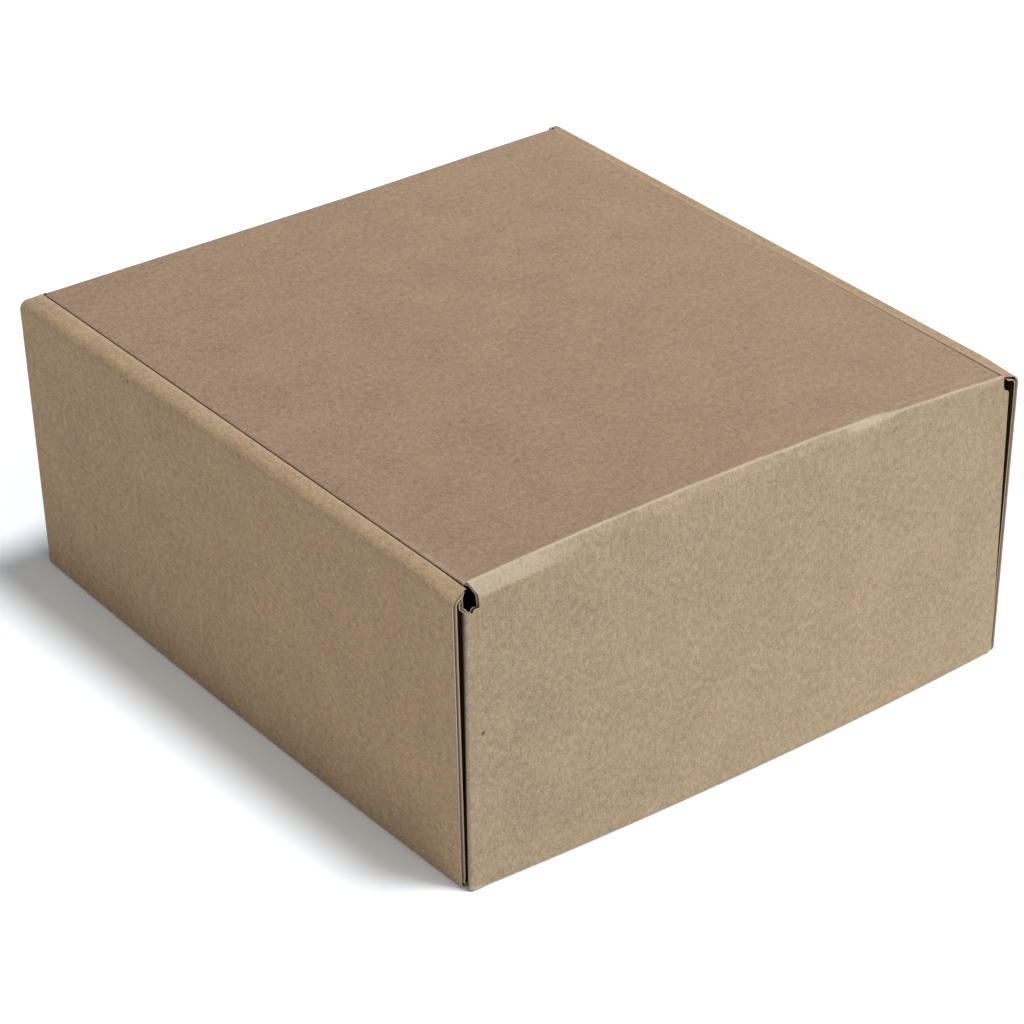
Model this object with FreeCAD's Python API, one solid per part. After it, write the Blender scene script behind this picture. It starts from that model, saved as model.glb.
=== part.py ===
import FreeCAD, Part
import math
import os

# Closed roll-end mailer box, folded from one die-cut sheet of fine-flute corrugated board.
# The frame's origin is the centre of the base's underside, +Z up and +Y towards the hinge wall.
# The sheet is two nodes, parted along the crease that the lid turns on. Sizes are millimetres.

# Board
board = 1.5
liner = 0.3
flute_depth = 1.2
fold_radius = 1.5
fold_bevel = 0.8
layer_gap = 0.15
lid_gap = 0.3

# Overall size, corner to corner over the creases
hinge_wall_width = 200.0
lid_depth = 217.0
height = 96.0

# Hinge wall and crease: the crease is crushed to a bevel, rises and draws in towards the middle.
# The wall leans out to its foot, by this much at its (+X end, -X end), and bulges out there
hinge_foot_out = (5.0, 0.6)
crease_rise = 2.0
crease_draw = 1.5
crease_bevel = 3.8
foot_bulge = 2.9
notch_radius = 3.0
notch_inset = 1.2
notch_drop = 5.5

# Front wall, which stops below the lid so that the lid's fold covers it
front_wall_drop = 1.2
front_bulge = 1.5

# Rolled side walls, (+X side, -X side): each leans out from its foot to its top
side_foot_hinge_end = (103.0, 101.6)
side_foot_front_end = (101.6, 101.6)
side_end_out = (2.0, 0.0)
side_top_hinge_end = (104.2, 103.1)
side_top_front_end = (106.4, 103.4)
side_fold = (99.4, 97.8)
side_bulge = 1.5
side_end_inset = 0.2
shoulder_radius = 2.4
inner_panel_inset = 5.5
inner_panel_lean = 2.6

# Dust flaps, which lie between the two layers of each rolled wall
hinge_flap_length = 80.0
front_flap_length = 60.0
flap_flex = 14.0
flap_bottom = 3.0

# Locking tabs under the inner panels and their slots in the base
tab_width = 30.0
tab_spacing = 100.0
slot_clearance = 0.35
tab_recess = 0.3

# Lid's tuck flap and side ears, which lean in so that they swing clear of the walls
tuck_depth = 36.0
tuck_lean = 4.2
ear_depth = 34.0
ear_lean = 1.9
ear_taper = 11.0
ear_inset = 5.0

hinge_y = lid_depth / 2
lid_front_y = -lid_depth / 2
front_inner_y = lid_front_y - lid_gap
front_y = front_inner_y - board
half_width = hinge_wall_width / 2
strip_end = half_width - 1.5 * fold_radius
flap_top = height - crease_bevel

# How far the first folded shape reaches under the base before it is cut flat, and how far cuts run on
skim = 0.02
clear = 20.0
reach = 400.0


def on_yz(x):
    """Placer that puts a section's (u, v) at (y, z) in the plane of this x."""
    return lambda u, v: FreeCAD.Vector(x, u, v)


def on_xz(y, side, out=0.0):
    """Placer that puts a section's (u, v) at (side * x, z), at this y or further out towards the foot."""
    return lambda u, v: FreeCAD.Vector(side * u, y + out * (1 - v / height), v)


def on_xy(z, side):
    """Placer that puts a section's (u, v) at (side * x, y) in the plane of this z."""
    return lambda u, v: FreeCAD.Vector(side * u, v, z)


def rounded_wire(corners, place):
    """Closed wire through the corners (u, v, radius), each rounded by its radius."""
    points = [FreeCAD.Vector(u, v, 0) for u, v, radius in corners]
    arcs = []
    for index, (u, v, radius) in enumerate(corners):
        here = points[index]
        back = (points[index - 1] - here).normalize()
        ahead = (points[(index + 1) % len(points)] - here).normalize()
        half_angle = back.getAngle(ahead) / 2
        bisector = (back + ahead).normalize() if radius else FreeCAD.Vector()
        trim = radius / math.tan(half_angle)
        middle = here + bisector * (radius / math.sin(half_angle) - radius)
        arcs.append([place(p.x, p.y) for p in (here + back * trim, middle, here + ahead * trim)])
    edges = []
    for index, (start, middle, end) in enumerate(arcs):
        if corners[index][2]:
            edges.append(Part.Arc(start, middle, end).toShape())
        edges.append(Part.LineSegment(end, arcs[(index + 1) % len(arcs)][0]).toShape())
    return Part.Wire(edges)


def loft(wires, ruled):
    """Solid through the wires, straight from one to the next when ruled."""
    return Part.makeLoft(wires, True, ruled)


def prism(corners, place_from, place_to):
    """Straight solid between the same sharp-cornered outline in two parallel planes."""
    outline = rounded_wire([(u, v, 0) for u, v in corners], place_from)
    return Part.Face(outline).extrude(place_to(0, 0) - place_from(0, 0))


def fused(shapes):
    """One solid out of several that overlap or share faces."""
    return shapes[0].fuse(shapes[1:]).removeSplitter()


def bow_at(x):
    """Share of its most by which a panel bows at this x: 1 on the centre plane, 0 at the folds."""
    return 1 - (x / strip_end) ** 2


def foot_corner(x):
    """Outer corner of the hinge wall's foot, its y, at this x."""
    share = (1 + x / strip_end) / 2
    lean = hinge_foot_out[1] + (hinge_foot_out[0] - hinge_foot_out[1]) * share
    return hinge_y + lean + foot_bulge * bow_at(x)


def crease_corner(bow):
    """Outer corner of the lid's crease, (y, z), where the panels bow by this share."""
    return hinge_y - crease_draw * bow, height + crease_rise * bow


def bevel_middle(depth):
    """How far in and down from the crease's corner the bevel's middle lies, this deep in the board."""
    return crease_bevel / 2 + depth / math.sqrt(2)


def bevel_inside():
    """How far along a panel from the crease's corner the bevel's inner face starts."""
    return crease_bevel + board * math.tan(math.pi / 8)


def channel_section(x):
    """Section of the front wall, base and hinge wall at this x, up to half of the crease."""
    bow = bow_at(x)
    crease_y, crease_z = crease_corner(bow)
    foot_y = foot_corner(x)
    front_foot_y = front_y - front_bulge * bow
    front_top = height - front_wall_drop
    return rounded_wire([
        (crease_y, crease_z - crease_bevel, 0),
        (crease_y - bevel_middle(0), crease_z - bevel_middle(0), 0),
        (crease_y - bevel_middle(board), crease_z - bevel_middle(board), 0),
        (crease_y - board, crease_z - bevel_inside(), 0),
        (foot_y - board, board, 0),
        (front_foot_y + board, board, 0),
        (front_inner_y, front_top, 0),
        (front_y, front_top, 0),
        (front_foot_y, fold_bevel, 0),
        (front_foot_y + fold_bevel + skim, -skim, 0),
        (foot_y - fold_bevel - skim, -skim, 0),
        (foot_y, fold_bevel, 0),
    ], on_yz(x))


def channel():
    """Front wall, base and hinge wall, folded up from one strip of the sheet."""
    solid = loft([channel_section(x) for x in (-strip_end, 0, strip_end)], False)
    corner = FreeCAD.Vector(-reach, front_y + liner, height - front_wall_drop - flute_depth)
    flutes = Part.makeBox(2 * reach, board - 2 * liner, reach, corner)
    return solid.cut(flutes)


def roll_section(index, y, foot, top, out):
    """Section of one rolled side wall: base strip, outer layer, top strip and inner panel."""
    fold = side_fold[index]
    inner_foot = fold - inner_panel_lean
    under = height - board
    return rounded_wire([
        (strip_end, -skim, 0),
        (foot - fold_bevel - skim, -skim, 0),
        (foot, fold_bevel, 0),
        (top, height, shoulder_radius),
        (fold + fold_bevel, height, 0),
        (fold, height - fold_bevel, 0),
        (inner_foot, board + layer_gap, 0),
        (inner_foot + board, board + layer_gap, 0),
        (fold + board, under, 0),
        (top - board, under, 0),
        (foot - board, board, 0),
        (strip_end, board, 0),
    ], on_xz(y, 1 - 2 * index, out))


def rolled_wall(index):
    """One side wall: the sheet goes up, over the top strip and down again inside."""
    hinge_end = hinge_y - side_end_inset
    out = side_end_out[index]
    foot_hinge, foot_front = side_foot_hinge_end[index], side_foot_front_end[index]
    top_hinge, top_front = side_top_hinge_end[index], side_top_front_end[index]
    middle = (front_y + hinge_end) / 2
    bulged_foot = (foot_front + foot_hinge) / 2 + side_bulge
    solid = loft([
        roll_section(index, front_y, foot_front, top_front, 0),
        roll_section(index, middle, bulged_foot, (top_front + top_hinge) / 2, out / 2),
        roll_section(index, hinge_end, foot_hinge, top_hinge, out),
    ], False)
    return solid.cut([
        inner_panel_relief(index, hinge_end, foot_hinge, top_hinge, -1, out),
        inner_panel_relief(index, front_y, foot_front, top_front, 1, 0),
        strip_mitre(index, hinge_end, top_hinge),
        edge_flutes(index, hinge_end, foot_hinge, top_hinge, -1, out),
        edge_flutes(index, front_y, foot_front, top_front, 1, 0),
    ])


def inner_panel_relief(index, end_y, foot, top, inward, out):
    """Cut that sets the inner panel's end back from the wall that it meets."""
    side = 1 - 2 * index
    fold = side_fold[index]
    foot_gap = (fold - inner_panel_lean + foot) / 2
    top_gap = (fold + top) / 2
    bottom = board + layer_gap / 2
    under = height - board
    outline = [(0, bottom), (foot_gap, bottom), (top_gap, under), (0, under)]
    start, end = end_y + inward * inner_panel_inset, end_y - inward * clear
    return prism(outline, on_xz(start, side, out), on_xz(end, side, out))


def strip_mitre(index, end_y, top):
    """Diagonal cut at the hinge end of the top strip."""
    side = 1 - 2 * index
    back = top - side_fold[index]
    outline = [
        (top, end_y),
        (top - back, end_y - back),
        (0, end_y - back),
        (0, end_y + back),
        (top, end_y + back),
    ]
    return prism(outline, on_xy(height - board, side), on_xy(height + board, side))


def edge_flutes(index, end_y, foot, top, inward, out):
    """Hollow between the two liners along an upright cut edge of the outer layer."""
    side = 1 - 2 * index
    low = 2 * board
    high = height - 2 * shoulder_radius
    lean = (top - foot) / height
    outline = [
        (foot + lean * low - liner, low),
        (foot + lean * high - liner, high),
        (foot + lean * high - board + liner, high),
        (foot + lean * low - board + liner, low),
    ]
    start, end = end_y + inward * flute_depth, end_y - inward * clear
    return prism(outline, on_xz(start, side, out), on_xz(end, side, out))


def flap_section(index, z, wall_y, inward, length):
    """Plan of a dust flap with its upright fold at this height."""
    corner = half_width
    inner_layer = side_fold[index] - inner_panel_lean * (1 - z / height) + board
    face = inner_layer + layer_gap + board
    straight = wall_y + inward * 2 * fold_radius
    return rounded_wire([
        (strip_end, wall_y, 0),
        (corner, wall_y, fold_radius),
        (corner, straight, 0),
        (face, wall_y + inward * flap_flex, 0),
        (face, wall_y + inward * length, 0),
        (face - board, wall_y + inward * length, 0),
        (face - board, wall_y + inward * flap_flex, 0),
        (corner - board, straight, 0),
        (corner - board, wall_y + inward * board, 0),
        (strip_end, wall_y + inward * board, 0),
    ], on_xy(z, 1 - 2 * index))


def hinge_dust_flap(index):
    """Flap that turns from the end of the leaning hinge wall into the rolled side wall."""
    sections = []
    for z in (flap_bottom, flap_top):
        wall_y = hinge_y + hinge_foot_out[index] * (1 - z / flap_top)
        sections.append(flap_section(index, z, wall_y, -1, hinge_flap_length))
    return loft(sections, True)


def front_dust_flap(index):
    """Flap that turns from the end of the front wall into the rolled side wall."""
    sections = [flap_section(index, z, front_y, 1, front_flap_length) for z in (flap_bottom, flap_top)]
    return loft(sections, True)


def locking_tab(index, y):
    """Tab under an inner panel, standing in its slot."""
    side = 1 - 2 * index
    inner = side_fold[index] - inner_panel_lean
    outline = [
        (inner, tab_recess),
        (inner + board, tab_recess),
        (inner + board, 2 * board),
        (inner, 2 * board),
    ]
    return prism(outline, on_xz(y - tab_width / 2, side), on_xz(y + tab_width / 2, side))


def tab_slot(index, y):
    """Slot in the base for a locking tab."""
    side = 1 - 2 * index
    inner = side_fold[index] - inner_panel_lean
    outline = [
        (inner - slot_clearance, -board),
        (inner + board + slot_clearance, -board),
        (inner + board + slot_clearance, board + layer_gap / 2),
        (inner - slot_clearance, board + layer_gap / 2),
    ]
    half = tab_width / 2 + slot_clearance
    return prism(outline, on_xz(y - half, side), on_xz(y + half, side))


def corner_notch(side):
    """Round die-cut notch at a top corner of the hinge wall."""
    start = FreeCAD.Vector(side * (half_width - notch_inset), hinge_y - 2 * board, height - notch_drop)
    slot = Part.makeCylinder(notch_radius, 4 * board, start, FreeCAD.Vector(0, 1, 0))
    above = Part.makeBox(2 * notch_radius, 4 * board, reach, start - FreeCAD.Vector(notch_radius, 0, 0))
    return slot.fuse(above)


def box_body():
    """Base, four walls, dust flaps and locking tabs as one folded piece, cut flat underneath."""
    tab_rows = (-tab_spacing / 2, tab_spacing / 2)
    notches = [corner_notch(side) for side in (-1, 1)]
    parts = [channel().cut(notches)]
    for index in (0, 1):
        parts.append(rolled_wall(index))
        parts.append(hinge_dust_flap(index).cut(notches))
        parts.append(front_dust_flap(index))
    walls = fused(parts)
    slots = [tab_slot(index, y) for index in (0, 1) for y in tab_rows]
    tabs = [locking_tab(index, y) for index in (0, 1) for y in tab_rows]
    below = Part.makeBox(2 * reach, 2 * reach, reach, FreeCAD.Vector(-reach, -reach, -reach))
    return fused([walls.cut(slots + [below])] + tabs)


def lid_section(x):
    """Section of the lid's panel and tuck flap at this x, from half of the crease."""
    bow = bow_at(x)
    crease_y, crease_z = crease_corner(bow)
    slip = lid_gap / math.sqrt(2)
    tip = height - tuck_depth
    return rounded_wire([
        (crease_y - crease_bevel, crease_z, 0),
        (lid_front_y, height, fold_radius),
        (lid_front_y + tuck_lean, tip, 0),
        (lid_front_y + tuck_lean + board, tip, 0),
        (lid_front_y + board, height - board, 0),
        (crease_y - bevel_inside(), crease_z - board, 0),
        (crease_y - bevel_middle(board) - slip, crease_z - bevel_middle(board) + slip, 0),
        (crease_y - bevel_middle(0) - slip, crease_z - bevel_middle(0) + slip, 0),
    ], on_yz(x))


def lid_edge(index):
    """Distance from the centre plane to one side edge of the lid."""
    return side_fold[index] - lid_gap


def panel_end(index):
    """Distance from the centre plane to where the lid's panel meets the fold of its ear."""
    return lid_edge(index) - 1.5 * fold_radius


def ear(index):
    """Side ear of the lid with its fold, tapered at both ends."""
    side = 1 - 2 * index
    edge = lid_edge(index)
    stub = panel_end(index)
    foot = height - ear_depth
    section = [
        (stub, height, 0),
        (edge, height, fold_radius),
        (edge - ear_lean, foot, 0),
        (edge - ear_lean - board, foot, 0),
        (edge - board, height - board, 0),
        (stub, height - board, 0),
    ]
    hinge_end = hinge_y - crease_bevel
    front_end = lid_front_y + fold_radius / 2
    solid = loft([
        rounded_wire(section, on_xz(front_end, side)),
        rounded_wire(section, on_xz(hinge_end, side)),
    ], True)
    shoulder = height - fold_radius
    outline = [
        (front_end, height + board),
        (hinge_end, height + board),
        (hinge_end, shoulder),
        (hinge_end - ear_inset, shoulder),
        (hinge_end - ear_inset - ear_taper, foot),
        (front_end + ear_inset + ear_taper, foot),
        (front_end + ear_inset, shoulder),
        (front_end, shoulder),
    ]
    return solid.common(prism(outline, on_yz(-reach), on_yz(reach)))


def lid():
    """Lid panel with its tuck flap and two ears, all inside the walls when closed."""
    left, right = panel_end(0), -panel_end(1)
    panel = loft([lid_section(x) for x in (right, (left + right) / 2, left)], False)
    return fused([panel, ear(0), ear(1)])


def main():
    """Writes one STEP file for each node."""
    os.makedirs("parts", exist_ok=True)
    for name, shape in (("box_body", box_body()), ("lid", lid())):
        shape.exportStep("parts/" + name + ".step")
        print(name, "solids", len(shape.Solids), "valid", shape.isValid(), "volume", round(shape.Volume))


main()
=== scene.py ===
"""Looks of a closed mailer box, folded from one die-cut sheet of brown corrugated board."""

import logging
import math
from collections.abc import Sequence
from dataclasses import dataclass
from enum import Enum

import bmesh
import bpy
import numpy as np
from mathutils import Matrix, Vector, noise

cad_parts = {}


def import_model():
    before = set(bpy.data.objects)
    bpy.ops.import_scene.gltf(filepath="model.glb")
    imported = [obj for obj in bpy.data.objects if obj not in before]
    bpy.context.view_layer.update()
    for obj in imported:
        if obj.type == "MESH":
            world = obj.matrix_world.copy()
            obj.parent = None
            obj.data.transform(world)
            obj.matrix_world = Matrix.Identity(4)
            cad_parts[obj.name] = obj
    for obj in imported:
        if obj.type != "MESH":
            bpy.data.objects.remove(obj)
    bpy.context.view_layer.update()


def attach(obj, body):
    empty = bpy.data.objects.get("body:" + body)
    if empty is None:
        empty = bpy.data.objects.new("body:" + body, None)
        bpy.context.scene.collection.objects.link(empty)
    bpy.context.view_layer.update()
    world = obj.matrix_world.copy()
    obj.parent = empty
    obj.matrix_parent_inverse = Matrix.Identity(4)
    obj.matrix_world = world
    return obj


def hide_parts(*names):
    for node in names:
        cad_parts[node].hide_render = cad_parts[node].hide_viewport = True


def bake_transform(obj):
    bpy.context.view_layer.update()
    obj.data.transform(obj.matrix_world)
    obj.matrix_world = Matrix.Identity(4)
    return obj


MM = 0.001
# Offsets that set layers and walls apart in the paper's pattern.
INNER_LAYER = 500.0
EDGE_LAYER = 900.0
FLUTE_LAYER = 910.0
SIDE_SHEET = 300.0
TAB_SHEET = 700.0

LOG = logging.getLogger("mailer_box")

Colour = tuple[float, float, float]
Pair = tuple[float, float]
Socket = bpy.types.NodeSocket


def smooth(value: float) -> float:
    """Smooth step from 0 to 1 as the value goes from 0 to 1."""
    share = min(1.0, max(0.0, value))
    return share * share * (3 - 2 * share)


def spread(start: float, end: float, count: int) -> list[float]:
    """Evenly spaced values from start to end, both included."""
    return [start + (end - start) * step / count for step in range(count + 1)]


def wander(place: float, length: float, seed: float) -> float:
    """Smooth irregular value between about -1 and 1 that wanders over this length."""
    return 2 * noise.noise(Vector((place / length, seed, seed * 0.37)))


def columns(*parts: np.ndarray | float) -> np.ndarray:
    """Points as rows, from one value or one row of values for each coordinate."""
    return np.stack(np.broadcast_arrays(*parts), axis=1)


@dataclass(frozen=True)
class Sizes:
    """Sizes of the board and the folded box in millimetres, as in the solids.

    Pairs of the side walls, notches and folds are (+X side, -X side).
    """

    board: float = 1.5
    liner: float = 0.3
    medium: float = 0.16
    flute_pitch: float = 3.2
    hollow_depth: float = 1.3
    fold_radius: float = 1.5
    foot_radius: float = 1.0
    upright_radius: float = 0.9
    rim_radius: float = 0.4
    ear_radius: float = 0.6
    front_radius: float = 1.3
    front_rise: float = 1.0
    fold_bevel: float = 0.8
    layer_gap: float = 0.15
    lid_gap: float = 0.3
    half_width: float = 100.0
    hinge_y: float = 108.5
    height: float = 96.0
    lid_front_y: float = -108.5
    hinge_foot_out: Pair = (5.0, 0.6)
    crease_rise: float = 2.0
    crease_draw: float = 1.5
    crease_bevel: float = 3.8
    crease_reach: float = 8.0
    crease_ends: Pair = (95.2, 96.7)
    lid_end_inset: float = 2.3
    foot_bulge: float = 2.9
    notch_radius: float = 3.6
    notch_inset: Pair = (1.2, -1.3)
    notch_drop: Pair = (5.0, 2.4)
    notch_tear: float = 0.35
    front_wall_drop: float = 2.8
    front_bulge: float = 1.5
    side_foot_hinge_end: Pair = (103.0, 101.6)
    side_foot_front_end: Pair = (101.6, 101.6)
    side_end_out: Pair = (2.0, 0.0)
    side_top_hinge_end: Pair = (104.2, 103.8)
    side_top_front_end: Pair = (106.4, 103.4)
    side_fold: Pair = (99.4, 97.8)
    side_bulge: float = 1.5
    side_end_inset: float = 0.2
    shoulder_radius: float = 3.2
    shoulder_fall: Pair = (0.9, 0.0)
    shoulder_hinge_fall: Pair = (2.5, 1.6)
    shoulder_front_fall: Pair = (1.0, 0.0)
    shoulder_end_run: float = 0.07
    strip_front_inset: float = 2.2
    inner_panel_inset: float = 5.5
    inner_panel_lean: float = 2.6
    hinge_flap_length: float = 80.0
    front_flap_length: float = 60.0
    flap_flex: float = 14.0
    flap_bottom: float = 3.0
    upright_out: Pair = (0.0, 0.6)
    upright_flare: Pair = (3.6, 0.0)
    foot_lift: float = 0.3
    foot_round: float = 3.6
    tab_width: float = 30.0
    tab_spacing: float = 100.0
    slot_clearance: float = 0.35
    tab_recess: float = 0.3
    tuck_depth: float = 36.0
    tuck_lean: float = 4.2
    tuck_seam: float = 2.5
    tuck_inset: float = 2.25
    tuck_corner: float = 6.0
    ear_depth: float = 34.0
    ear_lean: float = 1.9
    ear_taper: float = 11.0
    ear_inset: float = 5.0
    base_edge_out: float = 1.25
    base_edge_start: float = 104.0
    base_edge_run: float = 6.0

    @property
    def front_y(self) -> float:
        """Outer face of the front wall at its top."""
        return self.lid_front_y - self.lid_gap - self.board

    @property
    def strip_end(self) -> float:
        """Where the middle strip of the sheet ends and the folds to the sides begin."""
        return self.half_width - 1.5 * self.fold_radius

    @property
    def hinge_end(self) -> float:
        """Hinge end of the rolled side walls at their top."""
        return self.hinge_y - self.side_end_inset

    @property
    def flap_top(self) -> float:
        """Top of the dust flaps."""
        return self.height - self.crease_bevel

    def crease_end(self, x: float) -> float:
        """Distance from the centre plane to the crease's cut end on this side."""
        return self.crease_ends[int(x < 0)]

    def bow(self, x: float) -> float:
        """Share of its most by which a panel bows at this x."""
        return max(0.0, 1 - (x / self.strip_end) ** 2)

    def base_edge(self, y: float) -> float:
        """Distance from the centre plane at which the base passes to a side wall's own strip."""
        share = (self.base_edge_start - abs(y)) / self.base_edge_run
        return self.strip_end + self.base_edge_out * smooth(share)

    def crease(self, x: float) -> Pair:
        """Corner of the lid's crease, (y, z), at this x."""
        bow = self.bow(x)
        return self.hinge_y - self.crease_draw * bow, self.height + self.crease_rise * bow

    def lid_top(self, x: float, y: float) -> float:
        """Height of the lid's upper face at this x and y."""
        crease_y, crease_z = self.crease(x)
        share = min(1.0, max(0.0, (y - self.lid_front_y) / (crease_y - self.lid_front_y)))
        front_z = self.height + self.front_rise * smooth(-x / self.strip_end)
        return front_z + (crease_z - front_z) * share

    def foot_corner(self, x: float) -> float:
        """Y of the hinge wall's foot at this x."""
        share = (1 + x / self.strip_end) / 2
        lean = self.hinge_foot_out[1] + (self.hinge_foot_out[0] - self.hinge_foot_out[1]) * share
        return self.hinge_y + lean + self.foot_bulge * self.bow(x)

    def wall_outer(self, x: float, z: float) -> float:
        """Y of the hinge wall's outer face at this x and z."""
        crease_y, crease_z = self.crease(x)
        foot_y = self.foot_corner(x)
        share = (z - self.fold_bevel) / (crease_z - self.crease_bevel - self.fold_bevel)
        return foot_y + (crease_y - foot_y) * min(1.0, max(0.0, share))

    def notch_floor(self, x: float) -> float:
        """Height at which the round notch, a little torn, cuts the hinge wall off at this x."""
        side = int(x < 0)
        off = abs(x) - (self.half_width - self.notch_inset[side])
        if abs(off) >= self.notch_radius:
            return self.height
        floor = self.height - self.notch_drop[side] - math.sqrt(self.notch_radius ** 2 - off ** 2)
        return floor + self.notch_tear * wander(x, 0.9, 4.0)


SIZES = Sizes()


class EdgeForm(Enum):
    """How a cut edge of the board looks."""

    PLAIN = "plain"
    HOLLOW = "hollow"
    WAVE = "wave"


@dataclass(frozen=True)
class Corner:
    """Corner of a board's outer face in its section.

    Args:
        u: First coordinate in the section.
        v: Second coordinate in the section.
        radius: Radius of the fold.
        steps: Number of steps in the straight run after the corner.
    """

    u: float
    v: float
    radius: float = 0.0
    steps: int = 1


def trace(corners: Sequence[Corner], arc_steps: int = 8) -> tuple[np.ndarray, np.ndarray]:
    """Points and left-hand normals along an open path with rounded corners.

    Args:
        corners: The path's corners in order.
        arc_steps: Steps in each rounded corner.

    Returns:
        Points and normals, one row each. A sharp corner's normal is lengthened as its mitre.
    """
    places = [np.array((c.u, c.v)) for c in corners]
    last = len(corners) - 1
    points: list[np.ndarray] = []
    normals: list[np.ndarray] = []

    def unit(vector: np.ndarray) -> np.ndarray:
        return vector / np.linalg.norm(vector)

    def left(vector: np.ndarray) -> np.ndarray:
        return np.array((-vector[1], vector[0]))

    for index, corner in enumerate(corners):
        here = places[index]
        into = unit(here - places[index - 1]) if index else unit(places[1] - here)
        out = unit(places[index + 1] - here) if index < last else into
        turn = math.atan2(into[0] * out[1] - into[1] * out[0], float(into @ out))
        trim = corner.radius * abs(math.tan(turn / 2))
        if points:
            start, end = points[-1], here - into * trim
            steps = corners[index - 1].steps
            for step in range(1, steps):
                points.append(start + (end - start) * step / steps)
                normals.append(left(into))
        if corner.radius:
            reach = corner.radius * math.copysign(1, turn)
            centre = here - into * trim + left(into) * reach
            for angle in spread(0.0, turn, arc_steps):
                heading = into * math.cos(angle) + left(into) * math.sin(angle)
                points.append(centre - left(heading) * reach)
                normals.append(left(heading))
        else:
            points.append(here)
            normals.append(unit(left(into) + left(out)) / math.cos(turn / 2))
    return np.array(points), np.array(normals)


def inner_face(points: np.ndarray, normals: np.ndarray, depth: float) -> np.ndarray:
    """Other face of a board whose outer face runs through the points.

    Args:
        points: Points of the outer face.
        normals: Their left-hand normals.
        depth: Distance to the other face, positive on the left.

    Returns:
        The other face's points. Those inside a fold tighter than the board meet in one place.
    """
    inner = points + normals * depth
    backward = [False, *(np.sum(np.diff(points, axis=0) * np.diff(inner, axis=0), axis=1) < 0), False]
    first = 0
    for index in range(1, len(backward)):
        if backward[index] and not backward[index - 1]:
            first = index - 1
        if backward[index - 1] and not backward[index]:
            inner[first:index] = inner[first:index].mean(axis=0)
    return inner


def run_length(points: np.ndarray) -> np.ndarray:
    """Distance along a path at each of its points."""
    return np.concatenate(([0.0], np.cumsum(np.linalg.norm(np.diff(points, axis=0), axis=1))))


@dataclass
class Station:
    """One section of a board, ready to be joined to the next.

    Args:
        outer: Points of the outer face, in millimetres, one row each.
        inner: Points of the inner face.
        sheet: Place of each point on the flat sheet, (u, v) in millimetres.
        worn: How whitened the outer face is at each point, from 0 to 1.
        tone: How far each point takes the hinge wall's lighter colour rather than the lid's: painted light,
            as both are the same board and the hinge wall is lit more strongly.
        painted_shade: How far the outer face takes the deep brown flute colour as painted shade, where it
            lies deep in a gap.
        painted_shade_inside: The same painted shade on the inner face.
    """

    outer: np.ndarray
    inner: np.ndarray
    sheet: np.ndarray
    worn: np.ndarray | float = 0.0
    tone: np.ndarray | float = 0.0
    painted_shade: np.ndarray | float = 0.0
    painted_shade_inside: np.ndarray | float = 0.0


@dataclass(frozen=True)
class Hole:
    """Hole in a ribbon, between two of its stations and two of its columns."""

    rows: tuple[int, int]
    columns: tuple[int, int]

    def covers(self, row: int, column: int) -> bool:
        """Whether the face after this station and column lies in the hole."""
        return self.rows[0] <= row < self.rows[1] and self.columns[0] <= column < self.columns[1]

    def ring(self) -> list[tuple[int, int]]:
        """Stations and columns of the points around the hole, closed."""
        (top, bottom), (left, right) = self.rows, self.columns
        ring = [(top, column) for column in range(left, right)]
        ring += [(row, right) for row in range(top, bottom)]
        ring += [(bottom, column) for column in range(right, left, -1)]
        ring += [(row, left) for row in range(bottom, top, -1)]
        return ring + ring[:1]


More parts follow.
